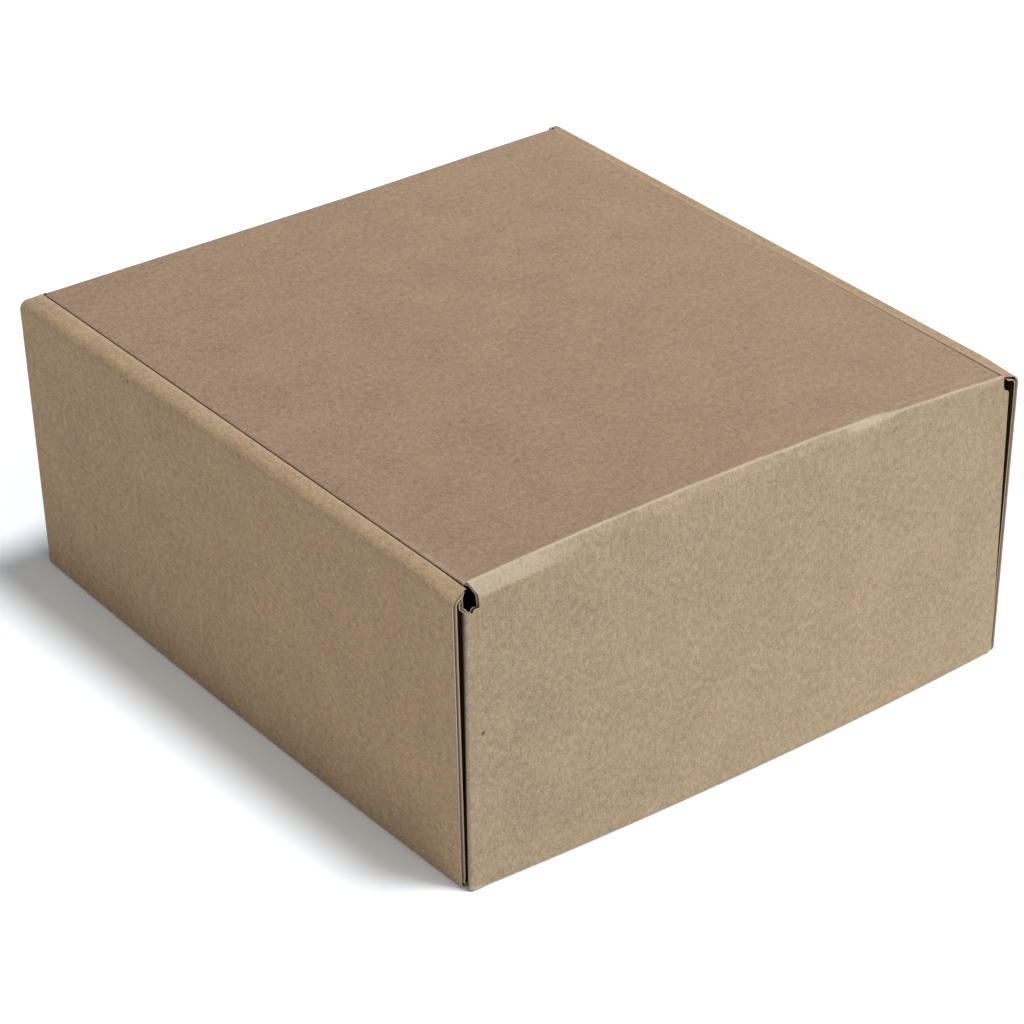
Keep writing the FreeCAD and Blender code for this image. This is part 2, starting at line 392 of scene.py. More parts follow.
class BoardMesh:
    """Collects the faces of one piece of board and turns them into an object."""

    def __init__(self, name: str) -> None:
        """Starts an empty piece with this name."""
        self.name = name
        self.points: list[np.ndarray] = []
        self.sheet: list[tuple[float, float, float]] = []
        self.marks: dict[str, list[float]] = {"cut": [], "worn": [], "tone": []}
        self.faces: list[tuple[int, ...]] = []

    def add_points(
        self,
        places: np.ndarray,
        sheet: np.ndarray,
        layer: float,
        cut: np.ndarray | float = 1.0,
        worn: np.ndarray | float = 0.0,
        tone: np.ndarray | float = 0.0,
    ) -> np.ndarray:
        """Adds a row of points.

        Args:
            places: Points in millimetres.
            sheet: Their places on the flat sheet.
            layer: Which layer of the board they lie on, as an offset into the pattern.
            cut: How much of a cut edge they are, from 0 to 1; faces deep in gaps get it too, which paints
                shade on them in the flute colour.
            worn: How whitened they are, from 0 to 1.
            tone: How far they take the hinge wall's lighter colour, which is painted light.

        Returns:
            The new points' indices.
        """
        first, count = len(self.points), len(places)
        self.points.extend(np.asarray(places, float))
        self.sheet.extend((float(flat[0]), float(flat[1]), layer) for flat in sheet)
        for name, mark in (("cut", cut), ("worn", worn), ("tone", tone)):
            self.marks[name].extend(np.broadcast_to(mark, count))
        return np.arange(first, first + count)

    def join_rows(self, one: np.ndarray, other: np.ndarray) -> None:
        """Joins two rows of points with four-sided faces."""
        for a, b, c, d in zip(one[:-1], one[1:], other[1:], other[:-1]):
            self.faces.append((int(a), int(b), int(c), int(d)))

    def ribbon(
        self,
        stations: Sequence[Station],
        ends: tuple[EdgeForm, EdgeForm],
        holes: Sequence[Hole] = (),
    ) -> None:
        """Adds one closed ribbon of board through the stations.

        Args:
            stations: Sections of the board in order, with as many points each.
            ends: Form of the cut edge at the first and at the last station.
            holes: Holes through the board.
        """
        # The painted shade marks go in as the cut mark, so those faces take the flute colour as painted
        # shade.
        outer = [self.add_points(s.outer, s.sheet, 0.0, s.painted_shade, s.worn, s.tone) for s in stations]
        inner = [self.add_points(s.inner, s.sheet, INNER_LAYER, s.painted_shade_inside, 0.0, s.tone) for s in stations]
        width = len(outer[0])
        for row in range(len(stations) - 1):
            for column in range(width - 1):
                if any(hole.covers(row, column) for hole in holes):
                    continue
                span = slice(column, column + 2)
                self.join_rows(outer[row][span], outer[row + 1][span])
                self.join_rows(inner[row + 1][span], inner[row][span])
        sides = [[(row, column) for row in range(len(stations))] for column in (0, width - 1)]
        for edge in [hole.ring() for hole in holes] + sides:
            self.edge_band(
                np.array([stations[row].outer[column] for row, column in edge]),
                np.array([stations[row].inner[column] for row, column in edge]),
                np.array([stations[row].sheet[column] for row, column in edge]),
            )
        self.end_face(stations[0], stations[1], ends[0])
        self.end_face(stations[-1], stations[-2], ends[1])

    def edge_band(self, outer: np.ndarray, inner: np.ndarray, sheet: np.ndarray) -> None:
        """Adds a cut edge as three bands: the outer liner, the flutes and the inner liner."""
        lip = SIZES.liner / SIZES.board
        # The flute band takes the deep brown flute colour, which is partly painted shade between the liners.
        for start, end, pale in ((0.0, lip, 1.0), (lip, 1 - lip, 0.0), (1 - lip, 1.0, 1.0)):
            self.join_rows(*(
                self.add_points(outer + (inner - outer) * share, sheet, EDGE_LAYER + share, worn=pale)
                for share in (start, end)
            ))

    def end_face(self, station: Station, inward: Station, form: EdgeForm) -> None:
        """Adds the cut edge that closes a ribbon at one station.

        Args:
            station: The ribbon's last station.
            inward: The station before it, which gives the way into the board.
            form: Form of the cut edge.
        """
        if form is EdgeForm.PLAIN:
            self.edge_band(station.outer, station.inner, station.sheet)
            return
        across = station.inner - station.outer
        lip = across * (SIZES.liner / np.linalg.norm(across, axis=1, keepdims=True))
        way = inward.outer - station.outer
        way = way / np.linalg.norm(way, axis=1, keepdims=True)
        deep = way * SIZES.hollow_depth
        outer_lip, inner_lip = station.outer + lip, station.inner - lip
        # The hollow's floor and sides take the deep brown flute colour: painted shade deep in the hollow.
        rows = [
            self.add_points(place, station.sheet, EDGE_LAYER + index, worn=pale)
            for index, (place, pale) in enumerate((
                (station.outer, 1.0),
                (outer_lip, 1.0),
                (outer_lip + deep, 0.0),
                (inner_lip + deep, 0.0),
                (inner_lip, 1.0),
                (station.inner, 1.0),
            ))
        ]
        self.join_rows(rows[0], rows[1])
        self.join_rows(rows[4], rows[5])
        for index in (1, 2, 3):
            self.join_rows(rows[index][1:-1], rows[index + 1][1:-1])
        for a, b in ((0, 1), (-1, -2)):
            self.faces.append(tuple(int(rows[r][c]) for r, c in ((1, a), (1, b), (4, b), (4, a))))
            self.faces.append(tuple(int(rows[r][b]) for r in (1, 2, 3, 4)))
        if form is EdgeForm.WAVE:
            self.medium_wave(station, deep)

    def medium_wave(self, station: Station, deep: np.ndarray) -> None:
        """Adds the fluted middle layer that a cut across the flutes shows.

        Args:
            station: The ribbon's last station.
            deep: Way from each point to the bottom of the hollow between the flutes.
        """
        middle = (station.outer + station.inner) / 2
        length = run_length(middle)
        margin = SIZES.liner
        steps = max(8, int((length[-1] - 2 * margin) / SIZES.flute_pitch * 12))
        along = np.linspace(margin, length[-1] - margin, steps)

        def at(rows: np.ndarray) -> np.ndarray:
            return columns(*(np.interp(along, length, row) for row in rows.T))

        across = at((station.inner - station.outer) / 2)
        half = np.linalg.norm(across, axis=1, keepdims=True)
        swing = (half - SIZES.liner - SIZES.medium / 2) / half
        wave = np.sin(along * 2 * math.pi / SIZES.flute_pitch)[:, None]
        centre = at(middle) + across * swing * wave
        skin = across * (SIZES.medium / 2 / half)
        above, below = centre + skin, centre - skin
        bottom = at(deep)
        # The medium blends the liner colour with the deep brown flute colour, so it is partly painted shade.
        rows = [
            self.add_points(place, columns(along, 0.0), FLUTE_LAYER + index, worn=0.6)
            for index, place in enumerate((above + bottom, above, below, below + bottom))
        ]
        for one, other in zip(rows, rows[1:] + rows[:1]):
            self.join_rows(one, other)
        for column in (0, -1):
            self.faces.append(tuple(int(row[column]) for row in rows))

    def faces_turned_in(self, mesh: bpy.types.Mesh) -> set[int]:
        """Faces whose normals point into the board, found on a copy with its points merged."""
        merged = bmesh.new()
        merged.from_mesh(mesh)
        number = merged.faces.layers.int.new("number")
        for index, face in enumerate(merged.faces):
            face[number] = index
        bmesh.ops.remove_doubles(merged, verts=merged.verts, dist=1e-7)
        bmesh.ops.recalc_face_normals(merged, faces=merged.faces)
        turned = {f[number] for f in merged.faces if f.normal.dot(mesh.polygons[f[number]].normal) < 0}
        merged.free()
        return turned

    def to_object(self) -> bpy.types.Object:
        """Makes the piece's object, in metres, with its patterns' coordinates."""
        mesh = bpy.data.meshes.new(self.name)
        mesh.from_pydata([tuple(p * MM) for p in self.points], [], self.faces)
        sheet = mesh.attributes.new("sheet", "FLOAT_VECTOR", "POINT")
        sheet.data.foreach_set("vector", np.array(self.sheet, np.float32).ravel())
        for name, values in self.marks.items():
            mark = mesh.attributes.new(name, "FLOAT", "POINT")
            mark.data.foreach_set("value", np.array(values, np.float32))
        turned = self.faces_turned_in(mesh)
        shell = bmesh.new()
        shell.from_mesh(mesh)
        shell.faces.ensure_lookup_table()
        bmesh.ops.reverse_faces(shell, faces=[shell.faces[index] for index in turned])
        shell.to_mesh(mesh)
        shell.free()
        mesh.shade_smooth()
        item = bpy.data.objects.new(self.name, mesh)
        bpy.context.scene.collection.objects.link(item)
        return item


@dataclass
class HingeWallAndBase:
    """Front wall, base and hinge wall, folded up from the middle strip of the sheet.

    Args:
        sizes: The box's sizes.
        slices: Number of stations across the width.
        foot_wear: How whitened the fold along the hinge wall's foot is.
        scuff: Place of the scratched patch under the crease: x, half width, lowest z.
        scuff_wear: How whitened that patch is.
    """

    sizes: Sizes = SIZES
    slices: int = 96
    foot_wear: float = 0.85
    scuff: tuple[float, float, float] = (-36.0, 8.0, 80.0)
    scuff_wear: float = 0.13

    def slot_edges(self, index: int) -> Pair:
        """Distances from the centre plane to the two long edges of this side's slots."""
        s = self.sizes
        inner = s.side_fold[index] - s.inner_panel_lean
        return inner - s.slot_clearance, inner + s.board + s.slot_clearance

    def slot_ends(self) -> list[Pair]:
        """Lowest and highest y of each slot."""
        s = self.sizes
        half = s.tab_width / 2 + s.slot_clearance
        return [(middle - half, middle + half) for middle in (-s.tab_spacing / 2, s.tab_spacing / 2)]

    def wear(self, points: np.ndarray, x: float) -> np.ndarray:
        """How whitened each point of the section at this x is."""
        s = self.sizes
        middle, half, low = self.scuff
        across = math.exp(-((x - middle) / half) ** 2)
        result = []
        for y, z in points:
            on_foot = float(y > s.foot_corner(x) - s.foot_radius)
            on_wall = float(y > s.hinge_y - 2 * s.board)
            foot = self.foot_wear * smooth(1 - z / s.foot_radius) * on_foot
            result.append(max(foot, on_wall * self.scuff_wear * across * smooth((z - low) / 10)))
        return np.array(result)

    def station(self, share: float) -> Station:
        """Section of the strip at this share of its half width, from -1 to 1."""
        s = self.sizes
        x = share * s.strip_end
        top = min(s.crease(x)[1] - s.crease_reach, s.notch_floor(x))
        slots = [Corner(y, 0, steps=14) for ends in reversed(self.slot_ends()) for y in reversed(ends)]
        points, normals = trace([
            Corner(s.wall_outer(x, top), top, steps=34),
            Corner(s.foot_corner(x), 0, s.foot_radius, steps=10),
            *slots,
            Corner(s.front_y - s.front_bulge * s.bow(x), 0, s.foot_radius, steps=20),
            Corner(s.front_y, s.height - s.front_wall_drop),
        ])
        inner = inner_face(points, normals, -s.board)
        down = run_length(points) + s.height - top
        places = np.array([share * (s.base_edge(y) if z < s.board else s.strip_end) for y, z in points])
        # Painted light: the walls take the hinge wall's lighter colour, the base half of it.
        tone = np.where(points[:, 1] > s.foot_radius, 1.0, 0.5)
        return Station(
            columns(places, *points.T),
            columns(places, *inner.T),
            columns(places, -down),
            self.wear(points, x),
            tone,
        )

    def build(self) -> bpy.types.Object:
        """Builds the strip with the slots in its base."""
        s = self.sizes
        base_half = s.strip_end + s.base_edge_out
        slots = [
            [side * edge / base_half for edge in self.slot_edges(index)]
            for side, index in ((-1, 1), (1, 0))
        ]
        steps_in = spread(0.2, 2.6, 12)
        fine = [side * (s.strip_end - step) / s.strip_end for side in (-1, 1) for step in steps_in]
        shares = sorted(spread(-1.0, 1.0, self.slices) + slots[0] + slots[1] + fine)
        stations = [self.station(share) for share in shares]
        off_base = np.where(stations[0].outer[:, 2] > 1e-6, 1e3, 0.0)
        low_y = stations[0].outer[:, 1]
        holes = []
        for pair in slots:
            rows = sorted(shares.index(share) for share in pair)
            for ends in self.slot_ends():
                slot_columns = sorted(int(np.argmin(np.abs(low_y - y) + off_base)) for y in ends)
                holes.append(Hole(tuple(rows), tuple(slot_columns)))
        board = BoardMesh("hinge_wall_and_base")
        board.ribbon(stations, (EdgeForm.PLAIN, EdgeForm.PLAIN), holes)
        return board.to_object()


@dataclass
class SideWall:
    """Rolled side wall: the sheet goes up, over the top strip and down again inside.

    Args:
        index: 0 on the +X side, 1 on the -X side.
        sizes: The box's sizes.
        slices: Number of stations along the wall.
        rim_wear: How whitened the top strip's fold along the lid is.
    """

    index: int
    sizes: Sizes = SIZES
    slices: int = 90
    rim_wear: float = 0.45

    def section(self, share: float, base_start: float) -> tuple[np.ndarray, np.ndarray]:
        """Section of the wall.

        Args:
            share: Share of the wall's length, from the front to the hinge.
            base_start: Distance from the centre plane at which its base strip starts.

        Returns:
            Points and normals of the outer face.
        """
        s, index = self.sizes, self.index

        def between(front: Pair, hinge: Pair) -> float:
            return front[index] + (hinge[index] - front[index]) * share

        bulge = s.side_bulge * (1 - (2 * share - 1) ** 2)
        top = between(s.side_top_front_end, s.side_top_hinge_end)
        foot = between(s.side_foot_front_end, s.side_foot_hinge_end)
        fall = s.shoulder_fall[index]
        fall += s.shoulder_hinge_fall[index] * smooth((share - 1) / s.shoulder_end_run + 1)
        fall += s.shoulder_front_fall[index] * smooth(1 - share / s.shoulder_end_run)
        return trace([
            Corner(s.side_fold[index] - s.inner_panel_lean, s.board + s.layer_gap, steps=24),
            Corner(s.side_fold[index], s.height, s.rim_radius, steps=2),
            Corner(top, s.height - fall, s.shoulder_radius, steps=30),
            Corner(foot + bulge, 0, s.foot_radius, steps=2),
            Corner(base_start, 0),
        ])

    def front_inset(self, u: float, v: float, inner_panel: bool) -> float:
        """How far this point of the section stops short of the wall's front end."""
        s = self.sizes
        if inner_panel and v < s.height - s.board:
            return s.inner_panel_inset
        if self.index:
            return 0.0
        top, fold = s.side_top_front_end[self.index], s.side_fold[self.index]
        on_top = smooth((v - s.height + s.shoulder_radius + s.shoulder_fall[self.index]) / s.shoulder_radius)
        return s.strip_front_inset * on_top * smooth((top - u) / (top - fold))

    def build(self) -> bpy.types.Object:
        """Builds the wall."""
        s = self.sizes
        side = 1 - 2 * self.index
        fold, out = s.side_fold[self.index], s.side_end_out[self.index]
        stations = []
        for share in spread(0.0, 1.0, self.slices):
            middle_y = s.front_y + (s.hinge_end + out - s.front_y) * share
            points, normals = self.section(share, s.base_edge(middle_y))
            inner = inner_face(points, normals, -s.board)
            x, z = points.T
            panel = (x <= fold) & (z < s.height - s.rim_radius)
            front = s.front_y + np.array([self.front_inset(*place) for place in zip(x, z, panel)])
            hinge = s.hinge_end + out * (1 - z / s.height) - s.inner_panel_inset * panel
            y = front + (hinge - front) * share
            rim = np.exp(-((x - fold - s.rim_radius) / 0.45) ** 2) * (z > s.height - 0.3)
            stations.append(Station(
                columns(side * x, y, z),
                columns(side * inner[:, 0], y, inner[:, 1]),
                columns(run_length(points) + SIDE_SHEET * (1 + self.index), y),
                rim * self.rim_wear,
                # Painted shade: the +X inner panel's face towards the box's inside takes the flute colour in
                # a band under the rim, by the gap along the lid; the roll's inner face takes it near the
                # hinge end, deep inside the roll.
                painted_shade=panel * (1 - self.index) * np.array([0.9 * smooth((v - s.height + 7) / 6) for v in z]),
                painted_shade_inside=~panel * smooth((share - 0.9) / 0.06),
            ))
        board = BoardMesh("side_wall_" + ("left", "right")[self.index])
        board.ribbon(stations, (EdgeForm.HOLLOW, EdgeForm.HOLLOW))
        return board.to_object()


@dataclass
class LockingTab:
    """Tab under an inner side panel, standing in its slot in the base.

    Args:
        index: 0 on the +X side, 1 on the -X side.
        row: 0 near the front, 1 near the hinge.
        sizes: The box's sizes.
        corner: Size of the cut lower corners.
    """

    index: int
    row: int
    sizes: Sizes = SIZES
    corner: float = 1.0

    def build(self) -> bpy.types.Object:
        """Builds the tab, with its lower corners cut off."""
        s = self.sizes
        side = 1 - 2 * self.index
        inner = s.side_fold[self.index] - s.inner_panel_lean
        middle = (self.row - 0.5) * s.tab_spacing
        half = s.tab_width / 2
        stations = []
        for off in (-half, self.corner - half, half - self.corner, half):
            bottom = s.tab_recess + (self.corner / 2 if abs(off) == half else 0.0)
            heights = np.array(spread(bottom, s.board + s.layer_gap, 3))
            stations.append(Station(
                columns(side * (inner + s.board), middle + off, heights),
                columns(side * inner, middle + off, heights),
                columns(heights + TAB_SHEET, middle + off),
            ))
        board = BoardMesh("locking_tab_" + ("left", "right")[self.index] + ("_front", "_hinge")[self.row])
        board.ribbon(stations, (EdgeForm.PLAIN, EdgeForm.PLAIN))
        return board.to_object()


@dataclass
class DustFlap:
    """Flap that turns from the end of a wall into the rolled side wall.

    Args:
        index: 0 on the +X side, 1 on the -X side.
        hinge: Whether it hangs on the hinge wall.
        sizes: The box's sizes.
    """

    index: int
    hinge: bool
    sizes: Sizes = SIZES

    def wall_y(self, z: float, off: float) -> float:
        """Y of the wall that the flap hangs on, at this height and this far past the strip's end."""
        s = self.sizes
        if not self.hinge:
            return s.front_y
        side = 1 - 2 * self.index
        end = s.wall_outer(side * s.strip_end, z)
        return end + (end - s.wall_outer(side * (s.strip_end - 1), z)) * off

    def heights(self, points: np.ndarray, fold: float, share: float) -> np.ndarray:
        """Height of each point of the section at this share of the flap's height.

        Args:
            points: The section's points, with the upright fold at u = fold.
            fold: Distance from the centre plane to that fold.
            share: 0 at the flap's bottom, 1 at its top.

        Returns:
            One height for each point.
        """
        s = self.sizes
        result = []
        for u, v in points:
            off = min(1.0, max(0.0, (u - fold + s.foot_round) / s.foot_round))
            rise = (s.flap_bottom - s.foot_lift) * (1 - math.sqrt(1 - off ** 2))
            bottom = s.foot_lift + rise if v < s.upright_radius else s.flap_bottom
            notched = self.hinge and v < 2 * s.board
            top = min(s.flap_top, s.notch_floor((1 - 2 * self.index) * u)) if notched else s.flap_top
            result.append(bottom + (top - bottom) * share)
        return np.array(result)

    def build(self) -> bpy.types.Object:
        """Builds the flap with its upright fold."""
        s = self.sizes
        side = 1 - 2 * self.index
        inward, length = (-1, s.hinge_flap_length) if self.hinge else (1, s.front_flap_length)
        stations = []
        for share in spread(0.0, 1.0, 60):
            z_mean = s.flap_bottom + (s.flap_top - s.flap_bottom) * share
            out = s.upright_out[self.index] + s.upright_flare[self.index] * (1 - share)
            fold = s.half_width + out * self.hinge
            lean = s.inner_panel_lean * (1 - z_mean / s.height)
            face = s.side_fold[self.index] - lean + s.board + s.layer_gap + s.board
            points, normals = trace([
                Corner(s.strip_end, 0, steps=10),
                Corner(fold, 0, s.upright_radius, steps=2),
                Corner(s.half_width, 2 * s.fold_radius, 1.0, steps=3),
                Corner(face, s.flap_flex, 2.0, steps=10),
                Corner(face, length),
            ])
            inner = inner_face(points, normals, s.board)
            z = self.heights(points, fold, share)
            offs = np.minimum(fold, points[:, 0]) - s.strip_end
            walls = np.array([self.wall_y(height, off) for height, off in zip(z, offs)])
            stations.append(Station(
                columns(side * points[:, 0], walls + inward * points[:, 1], z),
                columns(side * inner[:, 0], walls + inward * inner[:, 1], z),
                columns(side * (run_length(points) + s.strip_end), z - s.height),
                0.9 * smooth(1 - share * 60) * (points[:, 1] < s.upright_radius),
                # Painted light: the flap takes the hinge wall's lighter colour. Painted shade: its face past
                # the upright fold takes the flute colour, deep in the gap beside the side wall.
                1.0,
                np.array([smooth((v - s.upright_radius) / 0.8) for v in points[:, 1]]),
            ))
        board = BoardMesh("dust_flap_" + ("front", "hinge")[self.hinge] + ("_left", "_right")[self.index])
        board.ribbon(stations, (EdgeForm.PLAIN, EdgeForm.WAVE))
        return board.to_object()


@dataclass
class LidPanel:
    """Lid panel with the two ears that fold down from it.

    Args:
        sizes: The box's sizes.
        slices: Number of stations from the front to the hinge.
        edge_wear: How whitened the fold to the +X ear is near the hinge.
    """

    sizes: Sizes = SIZES
    slices: int = 80
    edge_wear: float = 0.4

    def ends(self, u: float, v: float) -> Pair:
        """Y of the front and of the hinge end of the sheet at this point of its section."""
        s = self.sizes
        shoulder = s.height - s.ear_radius
        if v < shoulder:
            inset = s.ear_inset + s.ear_taper * (shoulder - v) / (shoulder - s.height + s.ear_depth)
            return s.lid_front_y + s.fold_radius / 2 + inset, s.hinge_y - s.crease_bevel - inset
        beyond_crease = abs(u) > s.crease_end(u) - 0.01
        hinge = s.hinge_y - s.lid_end_inset if beyond_crease else s.crease(u)[0] - s.crease_reach
        return s.lid_front_y + s.tuck_seam, hinge

    def build(self) -> bpy.types.Object:
        """Builds the panel and its ears as one sheet."""
        s = self.sizes
        foot = s.height - s.ear_depth
        left, right = s.side_fold[0] - s.lid_gap, s.lid_gap - s.side_fold[1]
        points, normals = trace([
            Corner(right + s.ear_lean, foot, steps=10),
            Corner(right, s.height, s.ear_radius, steps=2),
            Corner(-s.crease_end(-1), s.height),
            Corner(0.05 - s.crease_end(-1), s.height, steps=70),
            Corner(s.crease_end(1) - 0.05, s.height),
            Corner(s.crease_end(1), s.height, steps=2),
            Corner(left, s.height, s.ear_radius, steps=10),
            Corner(left - s.ear_lean, foot),
        ])
        inner = inner_face(points, normals, -s.board)
        along = run_length(points) - (s.ear_depth + left)
        x, z = points.T
        shoulder = s.height - s.ear_radius
        front, hinge = np.array([self.ends(u, v) for u, v in points]).T
        near_fold = np.exp(-((x - left + s.ear_radius + 0.2) / 0.35) ** 2) * (z > shoulder)
        # Painted shade: the ears take the flute colour in a band just under their fold, deep in the gap
        # beside the side walls' top strips.
        painted_shade = np.array([smooth((s.height - 0.2 - v) / 0.3) * smooth((v - shoulder + 5) / 4) for v in z])
        stations = []
        for share in spread(0.0, 1.0, self.slices):
            y = front + (hinge - front) * share
            lift = np.array([s.lid_top(*place) - s.height for place in zip(x, y)]) * (z > shoulder)
            stations.append(Station(
                columns(x, y, z + lift),
                columns(inner[:, 0], y, inner[:, 1] + lift),
                columns(along, s.hinge_y - y),
                near_fold * self.edge_wear * smooth((share - 0.72) / 0.2),
                painted_shade=painted_shade,
            ))
        board = BoardMesh("lid_panel")
        board.ribbon(stations, (EdgeForm.WAVE, EdgeForm.WAVE))
        return board.to_object()


@dataclass
class TuckFlap:
    """Front fold of the lid and the flap that tucks in behind the front wall."""

    sizes: Sizes = SIZES
    slices: int = 80

    def build(self) -> bpy.types.Object:
        """Builds the flap, whose corners drop with the folds of the ears."""
        s = self.sizes
        tip = s.height - s.tuck_depth
        start_y = s.lid_front_y + s.tuck_seam
        left, right = s.side_fold[0] - s.lid_gap, s.lid_gap - s.side_fold[1]
        rounding = [s.ear_radius * (1 - math.cos(math.radians(angle))) for angle in (0, 30, 55, 75, 90)]
        places = [right + step for step in rounding]
        places += spread(right + 2 * s.ear_radius, left - 2 * s.ear_radius, self.slices)
        places += [left - step for step in reversed(rounding)]

        def fallen(radius: float, past: float) -> float:
            return radius - math.sqrt(max(0.0, radius ** 2 - max(0.0, past) ** 2))

        stations = []
        for x in places:
            edge = min(left - x, x - right)
            drop, cut = fallen(s.ear_radius, s.ear_radius - edge), fallen(s.tuck_corner, s.tuck_corner - edge)
            points, normals = trace([
                Corner(start_y, s.lid_top(x, start_y) - drop, steps=2),
                Corner(s.lid_front_y, s.lid_top(x, s.lid_front_y) - drop, s.front_radius, steps=14),
                Corner(s.lid_front_y + s.tuck_lean * (1 - cut / s.tuck_depth), tip + cut),
            ])
            inner = inner_face(points, normals, s.board)
            along = run_length(points) + s.hinge_y - start_y
            narrow = np.array([smooth((s.height - 1 - z) / 3) for z in points[:, 1]])
            row = x * (1 - narrow * s.tuck_inset / left)
            stations.append(Station(columns(row, *points.T), columns(row, *inner.T), columns(row, along)))
        board = BoardMesh("tuck_flap")
        board.ribbon(stations, (EdgeForm.WAVE, EdgeForm.WAVE))
        return board.to_object()


@dataclass
class LidCrease:
    """Crushed crease between the hinge wall and the lid.

    Args:
        sizes: The box's sizes.
        slices: Number of stations along it.
        ridge_inset: How far in from the corner the ridge runs, (in its long stretch, at its -X end).
        ridge_radius: Radius of the ridge.
        sharp_end: X below which the ridge runs on the corner.
        crushed_start: X above which the board below the ridge is crushed flat.
        crushed_depth: How far below the corner that crushed band reaches.
        patch: Whitened patch where the ridge moves out to the corner: its x at either end.
        ridge_end_out: How much further out than below the ridge reaches at its cut ends.
        rim_fall: Distance down the wall over which the cut ends draw in.
    """

    sizes: Sizes = SIZES
    slices: int = 240
    ridge_inset: Pair = (1.8, 0.45)
    ridge_radius: float = 0.6
    sharp_end: float = -57.0
    crushed_start: float = 62.0
    crushed_depth: float = 5.6
    patch: Pair = (-37.0, -59.0)
    ridge_end_out: Pair = (2.6, 1.05)
    rim_fall: Pair = (4.6, 60.0)

    def inset(self, x: float) -> float:
        """How far in from the corner the ridge runs at this x."""
        far, near = self.ridge_inset
        return near + (far - near) * smooth((x - self.sharp_end) / 12) + 0.12 * wander(x, 9.0, 1.0)

    def wear(self, x: float, off: np.ndarray) -> np.ndarray:
        """How whitened the crease is.

        Args:
            x: Place along it.
            off: Distances from the ridge, positive down the wall.

        Returns:
            One value for each distance.
        """
        line = (0.95 + 0.25 * wander(x, 14.0, 2.0)) * np.exp(-((off - 0.1) / 0.5) ** 2)
        crushed = smooth((x - self.crushed_start + 6) / 22)
        reach = self.crushed_depth + 0.6
        fade = np.array([smooth(o / 0.4) * smooth((reach - o) / 1.2) for o in off])
        band = crushed * (0.72 - 0.04 * off) * fade
        start, end = self.patch
        share = (x - start) / (end - start)
        lens = math.sin(math.pi * min(1.0, max(0.0, share))) ** 0.6
        middle = 1.7 - 2.2 * share
        half = 2.3 * lens + 0.01
        patch = 0.85 * lens * np.array([smooth(1.6 * (1 - abs(o - middle) / half)) for o in off])
        sharp = smooth((self.sharp_end + 4 - x) / 8)
        faint = 0.22 * sharp * np.exp(-((off + 3.2) / 0.5) ** 2)
        return np.clip(np.max([line, band, patch, faint], axis=0), 0.0, 1.0)

    def places(self, share: float, off: np.ndarray) -> np.ndarray:
        """X of each point of the section.

        Args:
            share: Share of the crease's half length, from -1 to 1.
            off: Distances from the ridge, positive down the wall.

        Returns:
            One x for each point.
        """
        side = int(share < 0)
        fall = self.rim_fall[side]
        out = np.clip((fall - off) / fall, 0.0, 1.0) * np.clip(1 + (off + 0.5) / 0.3, 0.0, 1.0)
        return share * (self.sizes.crease_ends[side] + self.ridge_end_out[side] * out)

    def station(self, share: float) -> Station:
        """Section of the crease at this share of its half length, from -1 to 1."""
        s = self.sizes
        x = share * s.crease_end(share)
        crease_y, crease_z = s.crease(x)
        inset = self.inset(x)
        low = 1.4 * inset + 0.6
        low += (self.crushed_depth - low) * smooth((x - self.crushed_start) / 16)
        bottom, back = crease_z - s.crease_reach, crease_y - s.crease_reach
        shoulder = crease_z - low
        points, normals = trace([
            Corner(s.wall_outer(x, bottom), bottom, steps=5),
            Corner(s.wall_outer(x, shoulder) - 0.1 * inset, shoulder, 2.2, steps=8),
            Corner(crease_y - inset, s.lid_top(x, crease_y - inset), self.ridge_radius, steps=16),
            Corner(back, s.lid_top(x, back)),
        ])
        inner = inner_face(points, normals, s.board)
        length = run_length(points)
        ridge = float(np.interp(crease_y - inset - 0.2, points[::-1, 0], length[::-1]))
        off = ridge - length
        down = np.interp(length, (0.0, ridge, length[-1]), (-s.crease_reach, 0.0, s.crease_reach))
        crumple = np.array([0.05 * wander(x, 2.1, 10 + o / 2.5) * math.exp(-(o / 4) ** 2) for o in off])
        points = points - normals * crumple[:, None] * min(1.0, 2 * (1 - abs(share)))
        row = self.places(share, off)
        return Station(
            columns(row, *points.T),
            columns(row, *inner.T),
            columns(row, down),
            self.wear(x, off),
            # Painted light: the crease passes to the hinge wall's lighter colour on its wall side.
            np.array([smooth(o / 0.6 + 0.5) for o in off]),
        )

    def build(self) -> bpy.types.Object:
        """Builds the crease."""
        fine = [side * share for side in (-1, 1) for share in (0.9935, 0.9955, 0.9975, 0.999)]
        board = BoardMesh("lid_crease")
        stations = [self.station(share) for share in sorted(spread(-1.0, 1.0, self.slices) + fine)]
        board.ribbon(stations, (EdgeForm.WAVE, EdgeForm.WAVE))
        return board.to_object()


